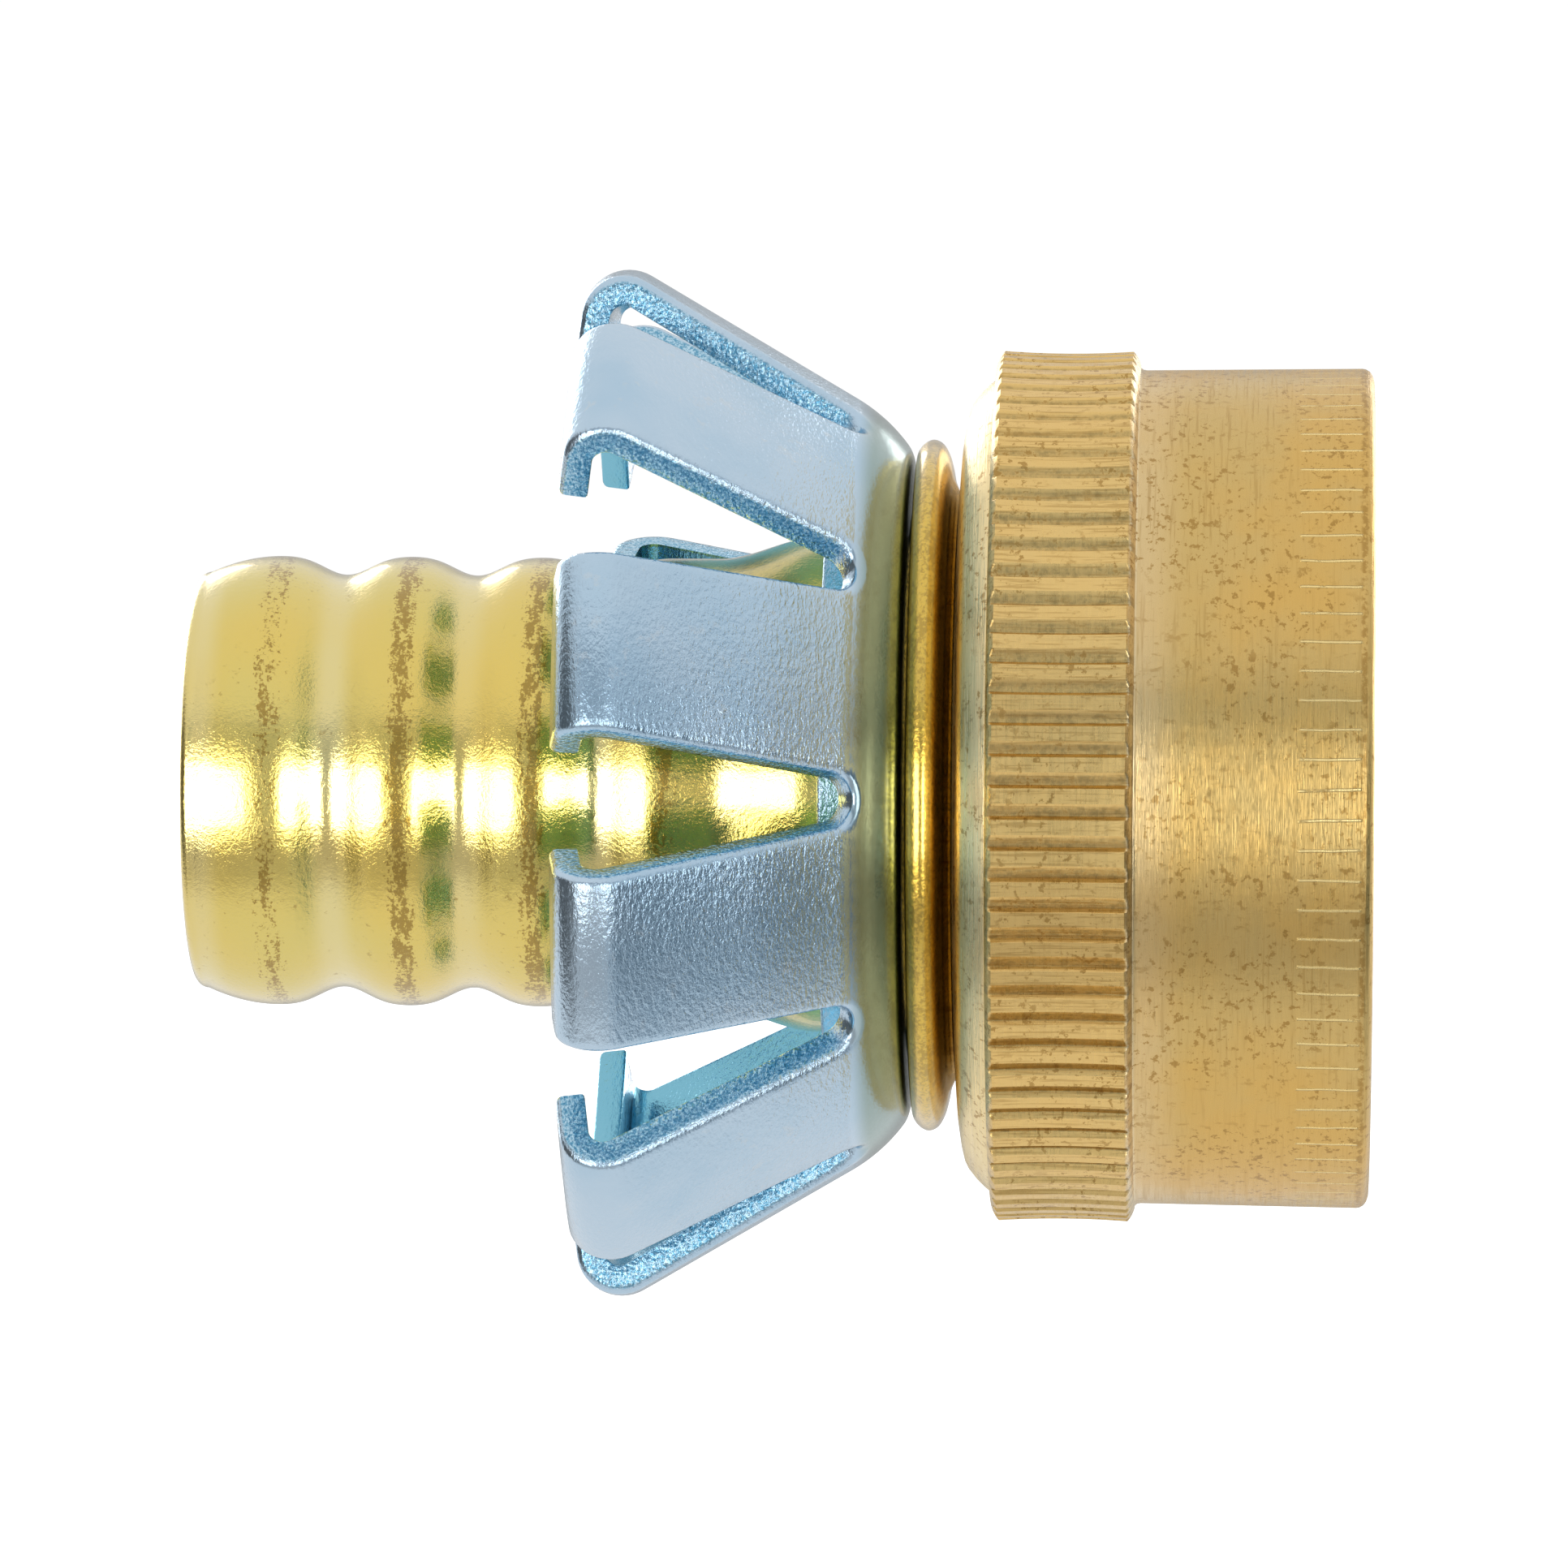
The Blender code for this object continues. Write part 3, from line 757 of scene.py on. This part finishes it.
def make_ring(material):
    """The whole part of the ring, with the round ends of the slots and the fingers' roots."""
    hub_end = SHEET_END - SHANK_END
    stations = list(np.linspace(hub_end - HUB_END_ROUND, hub_end - HUB_LENGTH, 3))
    stations += list(np.linspace(stations[-1], stations[-1] - HUB_BEND_R * math.pi / 2, 9))[1:]
    stations += list(np.linspace(stations[-1], stations[-1] - PLATE_LENGTH, 3))[1:]
    corner_length = CORNER_R * (math.pi / 2 - SHOULDER_END)
    stations += list(np.linspace(stations[-1], stations[-1] - corner_length, 8))[1:]
    stations += list(np.linspace(stations[-1], ARC_MIDDLE + SLOT_R + SLOT_BORDER, 10))[1:-1]
    rows = [
        (plate_row(hub_end - HUB_END_ROUND * (1 - math.cos(a))), HUB_END_ROUND * (1 - math.sin(a)))
        for a in np.radians((0.0, 30.0, 60.0))
    ]
    rows += [(plate_row(s), 0.0) for s in stations]
    rows += [(arc_row(turn), 0.0) for turn in np.linspace(0, SLOT_OPENING, 13)]
    rows += [(finger_row(s), 0.0) for s in np.linspace(STRAIGHT_START, -SEAM, 4)[1:]]
    skin = Skin()
    for i in range(FINGERS):
        lay_sheet(skin, rows, TURN * i / FINGERS)
    return skin.build("ring_finish", material, PLATED_SHARP, WELD)


def make_finger(i, material):
    """One finger from the seam to its lip's end, with closer rows near the seam."""
    lip_end = -SHANK_END
    stations = list(np.linspace(-SEAM, -FINE_SHANK_END, 10))
    stations += list(np.linspace(-FINE_SHANK_END, TIP_END - SHANK_END, 10))[1:]
    stations += list(np.linspace(TIP_END - SHANK_END, LIP_LENGTH - SHANK_END, 16))[1:]
    stations += list(np.linspace(LIP_LENGTH - SHANK_END, lip_end + LIP_END_ROUND, 5))[1:]
    rows = [(finger_row(s), 0.0) for s in stations]
    rows += [
        (finger_row(lip_end + LIP_END_ROUND * (1 - math.sin(a))), LIP_END_ROUND * (1 - math.cos(a)))
        for a in np.radians((30.0, 60.0, 90.0))
    ]
    skin = Skin()
    lay_sheet(skin, rows, TURN * i / FINGERS)
    return skin.build(f"finger_{i + 1:02d}_finish", material, PLATED_SHARP, WELD)


def bend_point(i, back):
    """A point on the middle of finger i's sheet, that far back from the shoulder's end."""
    x, r, _ = sheet_point(-back)
    turn = TURN * i / FINGERS
    return x * MM, -r * math.sin(turn) * MM, r * math.cos(turn) * MM


# ---------------------------------------------------------------- swivel nut


def tooth_angles():
    """Angles round the nut, with the same few stations on each knurl tooth."""
    in_tooth = [0.0, LAND / 2, LAND, LAND + 0.06, LAND + 0.14, 0.72, 0.81]
    in_tooth += [GROOVE_WALL - 0.02, GROOVE_WALL + 0.02, 0.98]
    return np.array([(k + u) * TURN / TEETH for k in range(TEETH) for u in in_tooth])


def groove(angles):
    """Depth of the knurl's scooped grooves at each angle."""
    phase = np.mod(angles * TEETH / TURN, 1.0)
    scoop = np.sin(math.pi / 2 * np.clip((phase - LAND) / (GROOVE_WALL - LAND), 0, 1))
    return GROOVE_DEPTH * np.minimum(scoop, (GROOVE_END - phase).clip(0) / (GROOVE_END - GROOVE_WALL))


def thread_radius(x, angles):
    """Inside of the nut, round the right-hand hose thread."""
    phase = np.mod((x - THREAD_START_X) / THREAD_PITCH - angles / TURN, 1.0)
    flank = THREAD_PITCH / 2 / math.tan(math.radians(30))
    peak = THREAD_MAJOR_R + THREAD_CREST - np.abs(phase - 0.5) * 2 * flank
    return np.clip(peak, THREAD_MINOR_R, THREAD_MAJOR_R)


def make_nut(material):
    fine = tooth_angles()
    coarse = fine[::BORE_SHARE]
    band_mid = (BAND_LEFT_X + BAND_RIGHT_X) / 2
    band_half = (BAND_RIGHT_X - BAND_LEFT_X) / 2
    right_edge = [(2 * band_mid - x, r) for x, r in reversed(BAND_EDGE)]
    skin = Skin()
    rings = [skin.ring(x, r, fine) for x, r in NUT_SHOULDER]
    for x, r in BAND_EDGE + BAND_FLAT + right_edge:
        dished = BAND_R - BAND_DISH * (1 - ((x - band_mid) / band_half) ** 2)
        rings.append(skin.ring(x, np.minimum(r, dished - groove(fine)), fine))
    rings += [skin.ring(x, r, fine) for x, r in SKIRT]
    for a, b in zip(rings, rings[1:]):
        skin.strip(a, b)

    bore = [skin.ring(HALF_LENGTH, MOUTH_R, coarse)]
    for x in np.arange(HALF_LENGTH, THREAD_START_X, -THREAD_STATION):
        mouth = THREAD_RELIEF_R - min(HALF_LENGTH - x, THREAD_LEAD)
        back = THREAD_RELIEF_R - min(max(x - THREAD_START_X, 0.0), THREAD_LEAD)
        bore.append(skin.ring(x, np.maximum(thread_radius(x, coarse), max(mouth, back)), coarse))
    bore += [skin.ring(x, r, coarse) for x, r in NUT_INSIDE]
    for a, b in zip(bore, bore[1:]):
        skin.strip(a, b)
    skin.fan(rings[-1], bore[0])
    skin.fan(rings[0], bore[-1])
    return skin.build("nut_finish", material, NUT_SHARP)


# ---------------------------------------------------------------- hose washer


def make_washer(material):
    left_x, right_x = WASHER_LEFT_X + WASHER_EDGE_R, WASHER_RIGHT_X - WASHER_EDGE_R
    outer_r, inner_r = WASHER_R - WASHER_EDGE_R, WASHER_BORE_R + WASHER_EDGE_R
    corners = [(left_x, outer_r), (right_x, outer_r), (right_x, inner_r), (left_x, inner_r)]
    outline = []
    for quarter, corner in enumerate(corners, start=-1):
        outline += arc(corner, WASHER_EDGE_R, quarter * math.pi / 2, (quarter + 1) * math.pi / 2, 5)
    return lathe("washer_finish", outline, WASHER_STEPS, material)


# ---------------------------------------------------------------- light and camera


def softbox(name, azimuth, elevation, half_size, brightness, lit):
    """A soft light that faces the coupling and lights only the given pieces.

    Azimuth 0 is the camera's side, and 90 degrees is +X.
    """
    az, el = math.radians(azimuth), math.radians(elevation)
    away = SOFTBOX_AWAY * MM
    place = Vector((math.sin(az) * math.cos(el), -math.cos(az) * math.cos(el), math.sin(el))) * away
    data = bpy.data.lights.new(name, "AREA")
    data.shape = "RECTANGLE"
    data.size, data.size_y = (2 * away * math.tan(math.radians(half)) for half in half_size)
    data.energy = brightness * math.pi * data.size * data.size_y
    made = bpy.data.objects.new(name, data)
    made.location = place
    made.rotation_euler = (-place).to_track_quat("-Z", "Y").to_euler()
    bpy.context.scene.collection.objects.link(made)
    group = bpy.data.collections.new(name + "_lights")
    for piece in lit:
        group.objects.link(piece)
    made.light_linking.receiver_collection = group


def make_floor():
    material = bpy.data.materials.new("white_floor")
    material.use_nodes = True
    shader = material.node_tree.nodes["Principled BSDF"]
    shader.inputs["Base Color"].default_value = (0.9, 0.9, 0.9, 1)
    shader.inputs["Roughness"].default_value = 0.9
    shader.inputs["Emission Color"].default_value = WHITE
    shader.inputs["Emission Strength"].default_value = FLOOR_GLOW
    mesh = bpy.data.meshes.new("floor")
    work = bmesh.new()
    bmesh.ops.create_grid(work, x_segments=1, y_segments=1, size=FLOOR_HALF * MM)
    work.to_mesh(mesh)
    work.free()
    mesh.materials.append(material)
    floor = bpy.data.objects.new("floor", mesh)
    floor.location.z = FLOOR_Z * MM
    floor.visible_glossy = False  # the metal mirrors the studio below instead
    bpy.context.scene.collection.objects.link(floor)


def make_world():
    """A white tent with dimmer zones for the metal to mirror; the backdrop itself is plain white.

    The zones are three level bands ahead, the right-hand side, the left-hand side and the back.
    """
    world = bpy.data.worlds.new("studio")
    world.use_nodes = True
    w = Nodes(world.node_tree)
    x, y, z = w.split(w.node("ShaderNodeTexCoord").outputs["Generated"])

    def level_band(centre, core, edge, depth):
        """How dim it is at most depth: within core of the centre's height, and gone past edge."""
        return w.span(w.maths("ABSOLUTE", w.less(z, centre)), core, edge, depth, 0.0)

    aside = w.maths("ABSOLUTE", x)
    ahead = w.product(w.span(y, -0.50, -0.25, 1.0, 0.0), w.span(aside, 0.60, 0.80, 1.0, 0.0))
    cool = w.product(w.add(level_band(0.37, 0.06, 0.17, 0.52), level_band(-0.06, 0.25, 0.32, 0.36)), ahead)
    dim = w.add(cool, w.product(level_band(-0.60, 0.12, 0.26, 0.42), ahead))

    right = w.product(w.span(x, 0.42, 0.78), w.span(y, -0.2, 0.6, 1.0, 0.0))
    right_depth = w.maths("MINIMUM", w.span(z, -0.20, 0.62, 0.76, 0.05), w.span(z, -0.90, -0.40, 0.2, 0.76))
    right_dim = w.product(right, right_depth)
    left = w.product(w.span(x, -0.80, -0.66, 1.0, 0.0), w.span(y, -0.10, 0.10, 1.0, 0.0))
    left_depth = w.maths("MINIMUM", w.span(z, 0.10, 0.50, 0.70, 0.08), w.span(z, -0.78, -0.58, 0.0, 0.70))
    far_left = w.product(w.span(x, -0.92, -0.87, 0.85, 0.0), w.span(z, 0.25, 0.45, 1.0, 0.0))
    behind = w.span(y, 0.88, 0.97, 0.0, 0.42)
    dim = w.product(dim, w.opposite(right))
    dim = w.greatest(dim, right_dim, w.product(left, left_depth), far_left, behind)

    seen = w.node("ShaderNodeLightPath").outputs["Is Camera Ray"]
    level = w.greatest(w.product(w.opposite(dim), TENT_LEVEL), seen)
    tint = w.product(w.greatest(cool, right_dim), w.opposite(seen))
    background = world.node_tree.nodes["Background"]
    w.plug(w.product(level, TENT_STRENGTH), background.inputs["Strength"])
    w.plug(w.blend(tint, WHITE, COOL_SHADE), background.inputs["Color"])
    bpy.context.scene.world = world
    bpy.context.scene.view_settings.view_transform = "Standard"


def make_camera():
    data = bpy.data.cameras.new("camera")
    data.sensor_width = CAMERA_SENSOR
    data.lens = CAMERA_LENS
    camera = bpy.data.objects.new("camera", data)
    back, up = -math.cos(CAMERA_ELEVATION), math.sin(CAMERA_ELEVATION)
    camera.location = (CAMERA_X * MM, CAMERA_AWAY * MM * back, CAMERA_AWAY * MM * up)
    look = (-camera.location).to_track_quat("-Z", "Y").to_matrix().to_4x4()
    roll = Matrix.Rotation(CAMERA_ROLL, 4, "Z")
    camera.matrix_world = Matrix.Translation(camera.location) @ look @ roll
    bpy.context.scene.collection.objects.link(camera)
    bpy.context.scene.camera = camera


def main():
    make_camera()
    make_world()
    make_floor()

    brass, satin, plate, black = stem_brass(), nut_brass(), zinc(), rubber()
    stem = make_stem(brass)
    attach(stem, "root")
    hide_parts("barbed_stem")
    ring = make_ring(plate)
    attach(ring, "root")
    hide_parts("clinch_ring")
    plated = [ring]
    for i in range(FINGERS):
        finger = make_finger(i, plate)
        plated.append(finger)
        start, end = bend_point(i, BEND_START), bend_point(i, BEND_END)
        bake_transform(finger)
        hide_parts(f"clinch_finger_{i + 1:02d}")
    nut = make_nut(satin)
    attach(nut, "nut")
    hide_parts("swivel_nut")
    washer = make_washer(black)
    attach(washer, "nut")
    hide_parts("hose_washer")

    lit = {"stem": [stem], "ring": plated, "nut": [nut, washer], "everything": [stem, *plated, nut, washer]}
    for name, azimuth, elevation, half_size, brightness, pieces in SOFTBOXES:
        softbox(name, azimuth, elevation, half_size, brightness, lit[pieces])


main()
